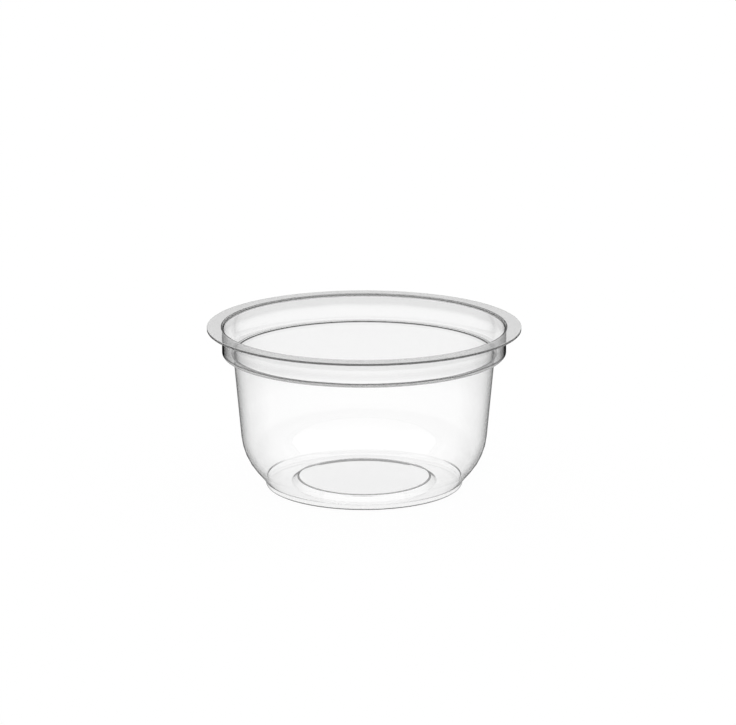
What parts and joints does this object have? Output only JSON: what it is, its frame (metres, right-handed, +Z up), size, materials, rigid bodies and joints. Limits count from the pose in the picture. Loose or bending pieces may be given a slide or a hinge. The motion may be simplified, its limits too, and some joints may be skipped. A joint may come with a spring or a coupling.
{
  "type": "clear plastic dessert cup",
  "caption": "Clear plastic dessert cup: a round bowl on a low standing ring, with a stepped collar and a wide flat rim that takes a lid or a sealing film.",
  "frame": {"origin": "centre of the circle that the standing ring rests on, on the cup's axis", "axes": "+Z up along the cup's axis, out of its mouth; the cup is round, so X and Y are free"},
  "size_m": [0.095, 0.095, 0.0494],
  "materials": {
    "clear_plastic": "gloss"
  },
  "bodies": {
    "root": {"cup": "clear_plastic"}
  },
  "joints": []
}
